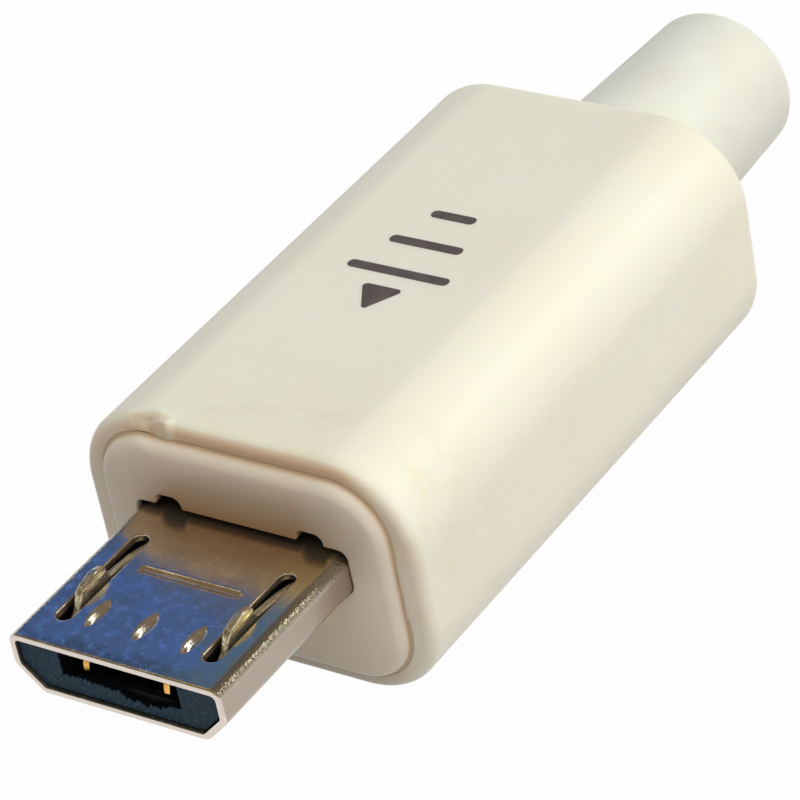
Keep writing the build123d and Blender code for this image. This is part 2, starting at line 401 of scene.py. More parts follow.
def add_node(tree, kind, inputs=(), **options):
    """Adds a shader node, sets its options, and sets or links its inputs; returns its outputs.

    inputs holds numbers, colours, hex colours or sockets, in the node's own order or by name.
    """
    node = tree.nodes.new("ShaderNode" + kind)
    for option, value in options.items():
        setattr(node, option, value)
    for key, value in inputs.items() if isinstance(inputs, dict) else enumerate(inputs):
        socket = node.inputs[key]
        if isinstance(value, bpy.types.NodeSocket):
            tree.links.new(value, socket)
            continue
        if isinstance(value, str):
            value = linear(value)
        socket.default_value = (*value, 1) if socket.type == "RGBA" and len(value) == 3 else value
    return node.outputs


def new_material(name):
    """An empty node material, a function that adds its nodes, and the place on the object."""
    material = bpy.data.materials.new(name)
    material.use_nodes = True
    material.node_tree.nodes.clear()
    node = partial(add_node, material.node_tree)
    return material, node, node("TexCoord")["Object"]


def surfaced(material, shader):
    """The material with this shader on its surface."""
    add_node(material.node_tree, "OutputMaterial", (shader,))
    return material


def noise_at(node, place, size, detail=2, rough=0.5):
    """Noise whose patches have a size in millimetres."""
    scale = 1 / (size * MM)
    settings = {"Vector": place, "Scale": scale, "Detail": detail, "Roughness": rough}
    return node("TexNoise", settings)[0]


def remap(node, value, low, high, to_low=0, to_high=1):
    """A value taken from one range to another, kept inside it."""
    return node("MapRange", (value, low, high, to_low, to_high))[0]


def patches(node, place, size, low, high, to_low=0, to_high=1, detail=2, rough=0.5):
    """Soft patches of a size in millimetres: noise taken from one range to another."""
    return remap(node, noise_at(node, place, size, detail, rough), low, high, to_low, to_high)


def calculate(node, operation, *values):
    """One step of arithmetic on sockets and numbers."""
    return node("Math", values, operation=operation)[0]


def product(node, *shares):
    """Several shares multiplied, in their order."""
    return reduce(partial(calculate, node, "MULTIPLY"), shares)


def layered(node, base, *layers):
    """A base colour with others laid over it, each given as its share and its colour."""
    for share, over in layers:
        base = node("Mix", {0: share, 6: base, 7: over}, data_type="RGBA")[2]
    return base


def fading(node, axis, start, end, from_share=0, to_share=1):
    """A share that goes from one value to another between two places in millimetres."""
    return remap(node, axis, start * MM, end * MM, from_share, to_share)


def ranged(node, axis, low, high, blur):
    """1 where a coordinate lies between two values in millimetres, fading over a blur."""
    rising = fading(node, axis, low - blur, low)
    return calculate(node, "MINIMUM", rising, fading(node, axis, high, high + blur, 1, 0))


def beyond(node, axis, half):
    """How far a coordinate lies beyond a distance on either side."""
    return calculate(node, "SUBTRACT", calculate(node, "ABSOLUTE", axis), half)


def behind_tip(node, place):
    """The place on the object as separate X, distance behind the tip and Z."""
    moved = node("VectorMath", (place, (0, CAD_LOW.y, 0)), operation="SUBTRACT")[0]
    return node("SeparateXYZ", (moved,))


def moulded_abs(name, ivory, shade, tint):
    """Injection-moulded ABS: smooth and glossy, a little see-in, with faint flow mottling."""
    material, node, place = new_material(name)
    mottling = patches(node, place, 6, 0.2, 0.8, detail=1)
    base = tint(node, place, layered(node, ivory, (mottling, shade)))
    looks = {"Base Color": base, "IOR": 1.53, "Roughness": 0.4, "Subsurface Weight": 0.3,
             "Subsurface Radius": (1.0, 0.7, 0.38), "Subsurface Scale": 0.6 * MM}
    return surfaced(material, node("BsdfPrincipled", looks)[0])


def scorched_and_shaded(node, place, base):
    """The cover's tint: brown in the iron's dent, faint smudges, and painted warm shade on the lip.
    """
    x, y, z = behind_tip(node, place)
    spot = product(node, ranged(node, x, -3.2, -2.5, 0.45), ranged(node, y, 6.1, 6.45, 0.18),
                   ranged(node, z, 7.0, 7.6, 0.3), patches(node, place, 0.3, 0.3, 0.65, 0.15, 0.6))
    # Faint smudges of handling near the mouth, drawn out across the plug
    drawn_out = node("Mapping", {"Vector": place, "Scale": (0.45, 1, 1)})[0]
    smudges = product(node, patches(node, drawn_out, 0.9, 0.5, 0.72, 0, 0.3, detail=4, rough=0.6),
                      ranged(node, y, 6.2, 8.6, 2.2))
    # Painted warm shade on the lip's face, warmer and darker than the rest, most of all in the
    # crease and least on the burr
    burr = product(node, ranged(node, x, -2.4, -2.0, 0.25), ranged(node, z, 7.05, 8, 0.2))
    lip = product(
        node,
        fading(node, y, COVER_FRONT + 0.01, COVER_FRONT + 0.14, 1, 0),
        fading(node, z, 2.0, 6.5, 0.3, 0.85),
        fading(node, x, -4.2, -2.4, 0.35, 1),
        fading(node, x, 3.4, 4.5, 1, 0.3),
        calculate(node, "MULTIPLY_ADD", burr, -0.6, 1),
    )
    return layered(node, base, (spot, "#B4946A"), (smudges, "#E0D0AC"), (lip, "#D4AF88"))


def shaded_round_opening(settings):
    """The insert's tint, all painted shade: warm round the opening, brown in the gap and dark in
    the opening.
    """

    def tint(node, place, base):
        x, y, z = behind_tip(node, place)
        lifted = calculate(node, "SUBTRACT", z, PLUG_MIDDLE * MM)
        # How far the place lies outside the opening, counted longer to its sides
        out_x, out_z = beyond(node, x, 3.45 * MM), beyond(node, lifted, 1.1 * MM)
        far = calculate(node, "MAXIMUM", product(node, out_x, 1.5), out_z)
        # Painted warm shade round the opening, strongest near it and above its middle, weaker
        # towards both sides
        warm = product(
            node,
            fading(node, far, 0.1, 2.0, 0.8, 0),
            fading(node, lifted, 0, 0.6, 0.15, 1),
            fading(node, x, -3.6, -2.2, 0.3, 1),
            fading(node, x, 2.0, 3.6, 1, 0.2),
        )
        # Painted brown shade on the insert's sides behind its rounded edge, in the crease with the
        # mouth's wall
        gap_shade = product(node, ranged(node, y, INSERT_FRONT + 0.4, 9, 0.12), 0.6)
        # Painted near-black shade on the walls inside the opening, behind its front edge
        inside = fading(node, far, 0.45, 0.6, 1, 0)
        deep = product(node, ranged(node, y, INSERT_FRONT + 0.3, 20, 0.22), inside)
        layers = (warm, settings.opening_shade), (gap_shade, "#C9A069"), (deep, "#1C0F08")
        return layered(node, base, *layers)

    return tint


def nickel_plate(settings):
    """Nickel-plated steel strip: bright, mottled and scuffed, with grit opened in the folds."""
    material, node, place = new_material("nickel_plated_strip")
    axes = node("SeparateXYZ", (node("NewGeometry")["Normal"],))
    side, front, top = (calculate(node, "ABSOLUTE", axis) for axis in axes)
    x, y, _ = behind_tip(node, place)
    out_x = calculate(node, "ABSOLUTE", x)
    # The fold's outer skin, stretched open, lies beyond the flat of the top
    pressed = remap(node, side, 0.35, 0.5, 0, 0.2)
    curved = calculate(node, "MAXIMUM", fading(node, out_x, 3.06, 3.14), pressed)
    slanted, not_front = remap(node, side, 0.93, 0.99, 1, 0), remap(node, front, 0.1, 0.3, 1, 0)
    folded = product(node, curved, slanted, not_front)
    upright_face = remap(node, side, 0.9, 0.99)
    blotches = patches(node, place, 0.8, 0.35, 0.65, detail=5, rough=0.65)
    bloom = patches(node, place, 0.32, 0.5, 0.7, 0, 0.8, detail=4, rough=0.65)
    specks = patches(node, place, 0.06, 0.62, 0.72, rough=0.6)
    scuffs = product(node, specks, patches(node, place, 0.5, 0.45, 0.6))
    # Darker near the tip, a painted greyer reflection towards the fold and a painted brown
    # reflection of the insert at the rear, each with a wavy border
    wavy = product(node, blotches, 0.5 * MM)
    near_tip = fading(node, calculate(node, "SUBTRACT", y, wavy), -0.1, 0.6, 0.8, 0)
    near_fold = fading(node, calculate(node, "ADD", x, wavy), 1.7, 3.2, 0, 0.9)
    oblique = calculate(node, "ADD", calculate(node, "MULTIPLY_ADD", x, 0.22, y), wavy)
    painted_brown_reflection = product(node, fading(node, oblique, 3.0, 3.9, 0, 0.55), top)
    painted_greyer_reflection = product(node, near_fold, top)
    dulled = calculate(node, "MAXIMUM", product(node, blotches, 0.5), near_tip)
    # Painted shade and light by facing: upright faces darker, faces turned to the front lighter and
    # pinker
    base = layered(
        node, settings.nickel, (product(node, dulled, top), "#98947E"), (bloom, "#F6F1E8"),
        (scuffs, "#E6E0D4"), (painted_brown_reflection, "#D0B488"), (painted_greyer_reflection, "#DECF9A"), (folded, "#A69E8D"),
        (upright_face, "#B3A598"), (remap(node, front, 0.8, 0.95), "#DDD2C8"),
    )
    rough = remap(node, blotches, 0, 1, 0.14, 0.26)
    for share, change in ((upright_face, 0.14), (scuffs, 0.2), (folded, -0.03)):
        rough = calculate(node, "MULTIPLY_ADD", share, change, rough)
    # Grit of the fold, which thins out on the upright faces
    gritty = calculate(node, "MAXIMUM", folded, product(node, upright_face, 0.3))
    grain, grit = noise_at(node, place, 0.06, 3, 0.6), noise_at(node, place, 0.085)
    fine = node("Bump", {"Strength": 0.15, "Distance": 0.008 * MM, "Height": grain})[0]
    coarse = node(
        "Bump", {"Strength": gritty, "Distance": 0.022 * MM, "Height": grit, "Normal": fine}
    )[0]
    looks = {"Metallic": 0.94, "Base Color": base, "Roughness": rough, "Normal": coarse}
    return surfaced(material, node("BsdfPrincipled", looks)[0])


def spring_steel(settings):
    """Stamped spring steel: dull yellowish grey, with lines drawn along the blade."""
    material, node, place = new_material("stamped_spring_steel")
    stretch = node("Mapping", {"Vector": place, "Scale": (1, 0.12, 1)})[0]
    lines = noise_at(node, stretch, 0.05, 3)
    base = layered(node, settings.steel, (remap(node, lines, 0.35, 0.65), "#978B6E"))
    rough = remap(node, lines, 0.3, 0.7, 0.16, 0.3)
    drawn = node("Bump", {"Strength": 0.25, "Distance": 0.006 * MM, "Height": lines})[0]
    looks = {"Metallic": 0.85, "Base Color": base, "Roughness": rough, "Normal": drawn}
    return surfaced(material, node("BsdfPrincipled", looks)[0])


def gold_flash(settings):
    """Gold-flashed bronze strip: warm and softly bright."""
    material, node, place = new_material("gold_flashed_bronze")
    wear = patches(node, place, 0.15, 0.4, 0.7, 0, 0.5)
    base = layered(node, settings.gold, (wear, "#C98F4C"))
    rough = remap(node, wear, 0, 0.5, 0.25, 0.4)
    looks = {"Metallic": 1.0, "Base Color": base, "Roughness": rough}
    return surfaced(material, node("BsdfPrincipled", looks)[0])


def filled_nylon(settings):
    """Glass-filled black nylon, moulded: dark slate grey on its front face, with pale fibre specks,
    and painted shade that makes all behind the face near black.
    """
    material, node, place = new_material("glass_filled_nylon")
    specks = patches(node, place, 0.06, 0.52, 0.7, 0, 0.65, detail=3, rough=0.6)
    # Painted shade: all that lies behind the front face is made near black
    cavity_shade = fading(node, behind_tip(node, place)[1], 0.13, 0.17)
    base = layered(node, settings.insulator, (specks, "#56707E"), (cavity_shade, "#080C10"))
    grain = noise_at(node, place, 0.08, 3, 0.6)
    rough_skin = node("Bump", {"Strength": 0.5, "Distance": 0.015 * MM, "Height": grain})[0]
    looks = {"Base Color": base, "IOR": 1.53, "Roughness": 0.55, "Specular IOR Level": 0.12,
             "Normal": rough_skin}
    return surfaced(material, node("BsdfPrincipled", looks)[0])


def soft_pvc(settings):
    """Soft white PVC: satin, light goes a little way in and rounds off its shading."""
    material, node, place = new_material("soft_white_pvc")
    base = layered(node, settings.white, (patches(node, place, 1.8, 0.35, 0.65, 0, 0.6), "#DEDBCE"))
    rough = patches(node, place, 0.4, 0.3, 0.7, 0.38, 0.5)
    skin_height = noise_at(node, place, 0.3)
    satin = node("Bump", {"Strength": 0.08, "Distance": 0.01 * MM, "Height": skin_height})[0]
    looks = {"Base Color": base, "IOR": 1.52, "Roughness": rough, "Subsurface Weight": 0.3,
             "Subsurface Radius": (1.0, 0.85, 0.7), "Subsurface Scale": 0.6 * MM, "Normal": satin}
    return surfaced(material, node("BsdfPrincipled", looks)[0])


def pad_ink(settings):
    """Pad-printing ink: dark grey brown, a little thin and uneven where the pad left it."""
    material, node, place = new_material("pad_printed_ink")
    thin = patches(node, place, 0.5, 0.35, 0.7, 0, 0.7, detail=3)
    base = layered(node, settings.ink, (thin, "#6A6152"))
    looks = {"Base Color": base, "IOR": 1.5, "Roughness": 0.38}
    return surfaced(material, node("BsdfPrincipled", looks)[0])


# Pieces

# Steps round the cover: fine along the top and its left corner, where the edge is damaged, and
# on the right, where the mouth's edge has a step
COVER_TURNS = (48, 20, 20, 24)
COVER_STRAIGHTS = (6, 10, 48, 130)

# Middles across the plug of what a soldering iron left on the cover's front edge, and the middle
# of the ledge on the right edge of the mouth with the height of the step where it ends
DENT_X, RIDGE_X, HEAD_X, STEM_X, SAG_X = -2.95, -2.7, -2.3, -2.08, -2.25
LEDGE_X, LEDGE_STEP = 4.7, 2.75


def damage(point):
    """Where a point of the cover lies, after the iron's touch and with the mouth's ledge."""
    x, y, z = point
    near_top = bump_at(z, COVER_TOP, 0.75)
    # The dent, and the curved ridge that was pushed up behind it
    ripple = 0.5 + 0.5 * noise.noise(Vector((x * 4.5, y * 4.5, z * 2.0)))
    dent = bump_at(x, DENT_X, 0.6) * bump_at(y, COVER_FRONT + 0.05, 0.5) * near_top
    ridge_line = COVER_FRONT + 0.4 - 0.3 * (x + 2.45) ** 2
    ridge = bump_at(y, ridge_line, 0.12) * bump_at(x, RIDGE_X, 0.95) * near_top
    # The burr beside it: a head, and a stem that runs down the edge
    head = bump_at(x, HEAD_X, 0.34) * bump_at(y, COVER_FRONT + 0.12, 0.12) * near_top
    stem = bump_at(x, STEM_X, 0.22) * bump_at(y, COVER_FRONT + 0.05, 0.3)
    stem *= bump_at(z, COVER_TOP - 0.15, 0.5)
    raised = 0.06 * ridge + 0.07 * head + 0.06 * stem - dent * (0.09 + 0.08 * ripple)
    forward = 0.06 * stem + 0.06 * head - 0.06 * dent
    # The lip's lower edge, which sags under the burr and is drawn up under the dent
    lower_edge = bump_at(z, COVER_TOP - 0.55, 0.3) * bump_at(y, COVER_FRONT, 0.5)
    sag = lower_edge * (0.12 * bump_at(x, SAG_X, 0.32) - 0.07 * bump_at(x, DENT_X, 0.42))
    wavy = 0.7 + 0.6 * noise.noise(Vector((0.4, 2.1, z * 2.2)))
    ledge = bump_at(x, LEDGE_X, 0.45) * bump_at(y, COVER_FRONT, 0.3) * wavy
    ledge *= clamped((z - LEDGE_STEP) / 0.07) * bump_at(z, 3.6, 2.4)
    return Vector((x - 0.06 * ledge, y - forward - 0.03 * ledge, z + raised - sag))


def build_cover(settings):
    """The outer cover, a deep moulded box, open in front and with the tube's hole behind."""
    size = in_mm(settings)

    def ring(station, inset, width=size.width, height=COVER_TOP, corner=size.corner):
        outline = rounded_outline(
            width - 2 * inset, height - 2 * inset, corner - inset, COVER_TURNS, COVER_STRAIGHTS
        )
        return upright(outline, station, COVER_MIDDLE)

    def outer_ring(station, inset):
        share = (station - COVER_FRONT) / (COVER_REAR - COVER_FRONT)
        return ring(station, inset, size.width - size.taper * share)

    def inner_ring(station, inset):
        width, height = size.width - 2 * size.side_wall, COVER_TOP - 2 * size.top_wall
        return ring(station, inset, width, height, size.mouth_corner)

    def hole_ring(station, radius):
        points = []
        for x, _, z in inner_ring(station, 0):
            out = Vector((x, z - COVER_MIDDLE)).normalized() * radius
            points.append(Vector((out.x, station, TUBE_MIDDLE + out.y)))
        return points

    chamber_end = COVER_REAR - size.rear_wall
    mouth_floor = COVER_FRONT + size.mouth_depth
    hole_edge, lip_edge = 0.05, 0.07
    rings = [hole_ring(chamber_end, size.hole), hole_ring(COVER_REAR - hole_edge, size.hole)]
    rings.append(hole_ring(COVER_REAR, size.hole + hole_edge))
    rings += [outer_ring(COVER_REAR - back, inset) for back, inset in edge_arc(size.rear_round, 8)]
    # Wide steps along the sides, then fine ones over the damaged edge
    rear, near_front, fine = COVER_REAR - size.rear_round, COVER_FRONT + size.front_round, 0.9
    rings += [outer_ring(blend(rear, near_front + fine, i / 6), 0) for i in range(1, 7)]
    rings += [outer_ring(near_front + fine * (1 - i / 20), 0) for i in range(1, 20)]
    front_arc = reversed(edge_arc(size.front_round, 8))
    rings += [outer_ring(COVER_FRONT + back, inset) for back, inset in front_arc]
    lip_outer, lip_inner = rings[-1], inner_ring(COVER_FRONT, -lip_edge)
    rings += [[p.lerp(q, i / 4) for p, q in zip(lip_outer, lip_inner)] for i in range(1, 4)]
    rings += [inner_ring(COVER_FRONT + back, -inset) for back, inset in edge_arc(lip_edge, 3)]
    rings += [inner_ring(station, 0) for station in (COVER_FRONT + 0.4, mouth_floor)]
    rings += [inner_ring(station, size.chamber_step) for station in (mouth_floor, chamber_end)]
    rings.append(rings[0])
    mesh = bmesh.new()
    skin(mesh, [[damage(point) for point in points] for points in rings])
    # The cover's finish carries painted warm shade on its lip
    finish = moulded_abs("glossy_moulded_abs", settings.ivory, settings.shade, scorched_and_shaded)
    return make_piece("cover_moulding", mesh, finish, "cover_plastic", "outer_cover")


def opening_corners(nose, size):
    """Corners (x, z, radius) of the insert's opening, anticlockwise, from the nose's middle."""
    fit, nose_half = size.gap * 0.4, (NOSE_TOP - NOSE_BOTTOM) / 2
    half_top, half_bottom = nose.width / 2 + fit, nose.bottom_width / 2 + fit
    top = nose_half + size.opening_lift
    notch_top = top + size.notch_height
    inner = (size.notch_spacing - size.notch_width) / 2
    outer = (size.notch_spacing + size.notch_width) / 2
    right = [
        (half_bottom, -nose_half - fit, nose.fold),
        (half_top, nose_half - nose.side, nose.fold),
        (half_top, top, 0.28),
        (outer, top, 0.06),
        (outer, notch_top, 0.26),
        (inner, notch_top, 0.26),
        (inner, top, 0.06),
    ]
    left = [(-x, z, radius) for x, z, radius in reversed(right)]
    return [left[-1], *right, *left[:-1]]


def settled(point):
    """Where a point of the insert lies: its left corner was pushed up by the same touch."""
    x, y, z = point
    lift = 0.09 * bump_at(x, DENT_X, 0.45) * bump_at(z, COVER_TOP - 0.7, 0.4)
    return Vector((x, y, z + lift * bump_at(y, INSERT_FRONT, 0.6)))


# How far behind its rounded edge the insert closes on the mouth's wall, as (station, share)
LEAD = ((0.16, 1), (0.04, 1.1), (0.014, 1.5))


def build_insert(settings, nose_settings):
    """The front insert: plate with a rounded edge, collar and the two rails behind it."""
    size, nose = in_mm(settings), in_mm(nose_settings)
    cover = in_mm(bpy.context.scene.plug_cover)
    width = cover.width - 2 * cover.side_wall - 2 * size.gap
    height = COVER_TOP - 2 * cover.top_wall - 2 * size.gap
    corner = cover.mouth_corner - size.gap
    seat = COVER_FRONT + cover.mouth_depth - size.gap
    collar_end = NOSE_BACK - size.gap
    steps = (20, 20, 20, 20), (6, 60, 6, 60)

    def plate_ring(station, inset):
        outline = rounded_outline(width - 2 * inset, height - 2 * inset, corner - inset, *steps)
        return upright(outline, station, COVER_MIDDLE)

    def face_ring(back, inset):
        fall = size.crown * max(1 - inset / size.crown_width, 0) ** 2
        return plate_ring(INSERT_FRONT + back + fall, inset)

    def opening_ring(station, inset):
        outline = rounded(moved_in(opening_corners(nose, size), inset), 6)
        return upright(outline, station, PLUG_MIDDLE)

    collar = rounded_outline(size.collar_width, size.collar_height, 0.5, *steps)
    rings = [upright(collar, station, PLUG_MIDDLE) for station in (collar_end, seat)]
    press = size.gap - 0.005
    rings += [plate_ring(seat, press), plate_ring(seat - 0.4, -press)]
    edge_end = INSERT_FRONT + size.edge_round + size.crown
    rings += [plate_ring(edge_end + back, -press * close) for back, close in LEAD]
    rings += [face_ring(back, inset) for inset, back in edge_arc(size.edge_round, 9)]
    rings += [face_ring(0, blend(size.edge_round, size.crown_width, i / 6)) for i in range(1, 7)]
    edge = 0.04
    mouth_rings = [opening_ring(INSERT_FRONT, -2 * edge)]
    mouth_rings += [opening_ring(INSERT_FRONT + back, -inset) for back, inset in edge_arc(edge, 4)]
    mouth_rings.append(opening_ring(collar_end, 0))
    mesh = bmesh.new()
    outside = skin(mesh, [[settled(p) for p in ring] for ring in rings])
    inside = skin(mesh, mouth_rings)
    fill_flat(mesh, edges_round(mesh, outside[-1]) + edges_round(mesh, inside[0]))
    fill_flat(mesh, edges_round(mesh, outside[0]) + edges_round(mesh, inside[-1]))
    add_rails(mesh, size, collar_end)
    # The insert's finish carries painted shade round and inside its opening
    finish = moulded_abs("shade_painted_moulded_abs", settings.ivory, "#E1D8C6", shaded_round_opening(settings))
    return make_piece("insert_moulding", mesh, finish, "cover_plastic", "front_insert")


def add_rails(mesh, size, front):
    """The two rails behind the collar that hold the insulator's block."""
    thickness, half_height, lip = 0.4, 1.7, 0.5
    for side in (-1, 1):
        outer = side * size.collar_width / 2
        inner = outer - side * thickness
        hook = inner - side * lip
        profile = [(outer, front), (outer, INSERT_BACK), (hook, INSERT_BACK)]
        profile += [(hook, INSERT_BACK - lip), (inner, INSERT_BACK - lip), (inner, front)]
        heights = (PLUG_MIDDLE - half_height, PLUG_MIDDLE + half_height)
        closed_bar(mesh, [[Vector((x, y, z)) for x, y in profile] for z in heights])


def nose_corners(size):
    """Corners (x, z, radius) of the nose's outside section, anticlockwise, from its middle."""
    top, side, bottom = (NOSE_TOP - NOSE_BOTTOM) / 2, size.width / 2, size.bottom_width / 2
    foot = top - size.side
    right, left = ((side, foot), (side, top)), ((-side, top), (-side, foot))
    return [(x, z, size.fold) for x, z in ((-bottom, -top), (bottom, -top), *right, *left)]


FOLD_STEPS = 8
SLOT_CENTRE, SLOT_LENGTH, SLOT_WIDTH = 2.89, 3.82, 0.5
# Pressed marks in the nose's top: centre (x, y), length along Y, width along X, depth and how
# far the deepest place lies behind the centre
DIMPLES = [((x, 1.6), 1.3, 0.46, 0.17, -0.14) for x in (-1.55, 0, 1.55)]
RIB = ((0, 3.55), 0.32, 3.35, 0.08, 0)
# Steps down a mark's wall, how far its soft rim spreads, and how late the wall falls off
MARK_STEPS, MARK_SPREAD, MARK_ONSET = 12, 0.06, 1.9


def build_nose(settings, latch_settings):
    """The folded sheet of the nose, with its slots, dimples and rib."""
    size, latch = in_mm(settings), in_mm(latch_settings)
    half_seam, burr = size.seam / 2, 0.03

    def ring(station, inset):
        points = rounded(moved_in(nose_corners(size), inset), FOLD_STEPS)
        first, others = points[: FOLD_STEPS + 1], points[FOLD_STEPS + 1 :]
        right, left = (Vector((x, first[-1].y)) for x in (half_seam, -half_seam))
        return upright([right, *others, *first, left], station, PLUG_MIDDLE)

    rings = [ring(NOSE_BACK, 0)]
    rings += [ring(back, inset) for inset, back in edge_arc(size.lead_in, 5)]
    rings += [ring(back, size.sheet - inset) for back, inset in edge_arc(burr, 3)]
    rings += [ring(size.lead_in, size.sheet), ring(NOSE_BACK, size.sheet), ring(NOSE_BACK, 0)]
    # The flat top, which follows the third fold, is left open above and below
    flat, under = 3 * (FOLD_STEPS + 1), len(rings) - 3
    mesh = bmesh.new()
    skin(mesh, rings, closed=False, skip=((0, flat), (under, flat)))
    bmesh.ops.remove_doubles(mesh, verts=mesh.verts, dist=WELD)
    top_edges, under_edges = panel_edges(mesh, size)
    for height, edges in ((NOSE_TOP, top_edges), (NOSE_TOP - size.sheet, under_edges)):
        for mark in (*DIMPLES, RIB):
            edges += pressed_mark(mesh, mark, height)
    for x in (-latch.spacing / 2, latch.spacing / 2):
        upper, lower = slot_walls(mesh, x, size.sheet)
        top_edges += upper
        under_edges += lower
    fill_flat(mesh, top_edges)
    fill_flat(mesh, under_edges)
    close_seam(mesh, half_seam)
    finish = nickel_plate(settings)
    return make_piece(
        "nose_sheet", mesh, finish, "shell_metal", "plug_shell", sharp=50, flat_top=True
    )


def panel_edges(mesh, size):
    """The open edges round the nose's flat top, outside and inside."""
    open_edges = [e for e in mesh.edges if len(e.link_faces) == 1]
    reach = size.width / 2 - size.fold + 0.01
    found = ([], [])
    for edge in open_edges:
        heights = [v.co.z for v in edge.verts]
        if max(abs(v.co.x) for v in edge.verts) < reach and min(heights) > PLUG_MIDDLE:
            found[0 if min(heights) > NOSE_TOP - size.sheet / 2 else 1].append(edge)
    return found


def pressed_mark(mesh, mark, height):
    """A scoop pressed into the sheet, with soft rims; returns its rim's edges."""
    (x, y), length_y, width_x, depth, lag = mark
    narrow = min(length_y, width_x) / 2
    rings = []
    for step in range(MARK_STEPS):
        share = step / MARK_STEPS
        inset = narrow * share - MARK_SPREAD * (1 - share)
        shorter = length_y - 2 * inset - 2 * abs(lag) * share
        shape = scoop_outline((x, y + lag * share), shorter, width_x - 2 * inset)
        drop = depth * (share * share * (3 - 2 * share)) ** MARK_ONSET
        rings.append(level(shape, height - drop))
    rows = skin(mesh, rings)
    mesh.faces.new(rows[-1])
    return edges_round(mesh, rows[0])


def scoop_outline(centre, length_y, width_x):
    """Points (x, y) of a scoop's rim: a round-ended slot across, or an almond along the plug."""
    if width_x > length_y:
        return stadium(centre, length_y, width_x)
    turn = [2 * math.pi * i / 36 for i in range(36)]
    return [
        Vector((centre[0] + width_x / 2 * math.sin(a) * abs(math.sin(a)) ** 0.25,
                centre[1] - length_y / 2 * math.cos(a)))
        for a in turn
    ]


def slot_walls(mesh, x, sheet):
    """The walls of a latch slot with softened edges; returns the edges above and below."""

    def ring(drop, grow):
        size = SLOT_LENGTH + 2 * grow, SLOT_WIDTH + 2 * grow
        return level(stadium((x, SLOT_CENTRE), *size, 14), NOSE_TOP - drop)

    rows = skin(mesh, [*(ring(*step) for step in edge_arc(0.06, 3)), ring(sheet, 0)])
    return edges_round(mesh, rows[0]), edges_round(mesh, rows[-1])


def close_seam(mesh, half_seam):
    """Closes the sheet's two cut edges, which face each other underneath."""
    for x in (-half_seam, half_seam):
        edges = [
            edge
            for edge in mesh.edges
            if len(edge.link_faces) == 1 and all(abs(v.co.x - x) < 0.001 for v in edge.verts)
        ]
        bmesh.ops.contextual_create(mesh, geom=edges)


# Corners (y, z, radius) of a latch blade, from the tip and the nose's middle, anticlockwise
BLADE = [
    (9.6, -0.225, 0.05),
    (9.95, -0.225, 0.17),
    (9.95, 0.28, 0.2),
    (9.3, 0.24, 0.1),
    (6.4, 0.25, 0.5),
    (4.1, 0.745, 0.8),
    (2.99, 0.87, 0.1),
    (2.99, 1.2, 0.14),
    (2.55, 1.335, 0.45),
    (1.88, 1.17, 0.35),
    (1.6, 0.66, 0.2),
    (1.2, 0.42, 0.12),
    (1.2, 0.12, 0.1),
    (6.4, -0.06, 0.5),
]


def build_latch(settings, side, x):
    """A latch blade, stamped from strip and standing on edge, with its ramped tooth."""
    size = in_mm(settings)
    profile = [(fall - size.thickness / 2, inset) for fall, inset in edge_arc(size.edge, 5)]
    profile += [(-offset, inset) for offset, inset in reversed(profile)]
    rings = []
    for offset, inset in profile:
        loop = rounded(moved_in(BLADE, inset), 6)
        rings.append([Vector((x + offset, p.x, PLUG_MIDDLE + p.y)) for p in loop])
    mesh = bmesh.new()
    closed_bar(mesh, rings, filled=True)
    finish = bpy.data.materials.get("stamped_spring_steel") or spring_steel(settings)
    body = f"{side}_latch"
    return make_piece(
        f"blade_{side}", mesh, finish, "latch_metal", f"latch_{side}", body=body, sharp=60
    )


def build_tube(settings):
    """The strain relief: a soft tapered tube with a flange inside the cover."""
    size = in_mm(settings)
    flange_end, bore_edge = TUBE_FRONT + 1.0, 0.03
    flange = rounded_outline(8.9, 6.0, 1.53, (20, 20, 20, 20), (8, 12, 8, 12))
    directions = [p.normalized() for p in flange]

    def circle(station, radius):
        return upright([d * radius for d in directions], station, TUBE_MIDDLE)

    rings = [circle(TUBE_FRONT, size.bore)]
    rings += [upright(flange, station, COVER_MIDDLE) for station in (TUBE_FRONT, flange_end)]
    rings += [circle(station, size.neck) for station in (flange_end, flange_end + 0.3, COVER_REAR)]
    for share in (i / 12 for i in range(1, 13)):
        station = blend(COVER_REAR, TUBE_REAR - size.end_round, share)
        rings.append(circle(station, blend(size.neck, size.end, share)))
    end_arc = edge_arc(size.end_round, 9)[1:]
    rings += [circle(TUBE_REAR - back, size.end - inset) for inset, back in end_arc]
    rings += [circle(TUBE_REAR, size.bore + bore_edge), circle(TUBE_REAR - 0.05, size.bore)]
    rings.append(rings[0])
    mesh = bmesh.new()
    skin(mesh, rings)
    return make_piece(
        "cable_tube", mesh, soft_pvc(settings), "relief_plastic", "strain_relief"
    )


def build_print(settings):
    """A plain pointer and three bars, pad-printed on the cover's top."""
    size = in_mm(settings)
    ink_sunk, ink_proud = 0.01, 0.012
    pointer_half, pointer_gap, narrower = 0.7, 0.55, 0.28
    pointer_back = size.front + 1.15
    shapes = [[(0, size.front, 0.1), (pointer_half, pointer_back, 0.12),
               (-pointer_half, pointer_back, 0.12)]]
    for number in range(3):
        low = blend(pointer_back + pointer_gap, size.back - size.stroke, number / 2)
        high, wide = low + size.stroke, size.width / 2 * (1 - narrower * number)
        places = ((-wide, low), (wide, low), (wide, high), (-wide, high))
        shapes.append([(x, y, size.stroke * 0.45) for x, y in places])
    mesh = bmesh.new()
    for corners in shapes:
        outline = rounded(corners, 6)
        closed_bar(mesh, [level(outline, COVER_TOP + rise) for rise in (-ink_sunk, ink_proud)])
    return make_piece("top_print", mesh, pad_ink(settings), "cover_plastic")


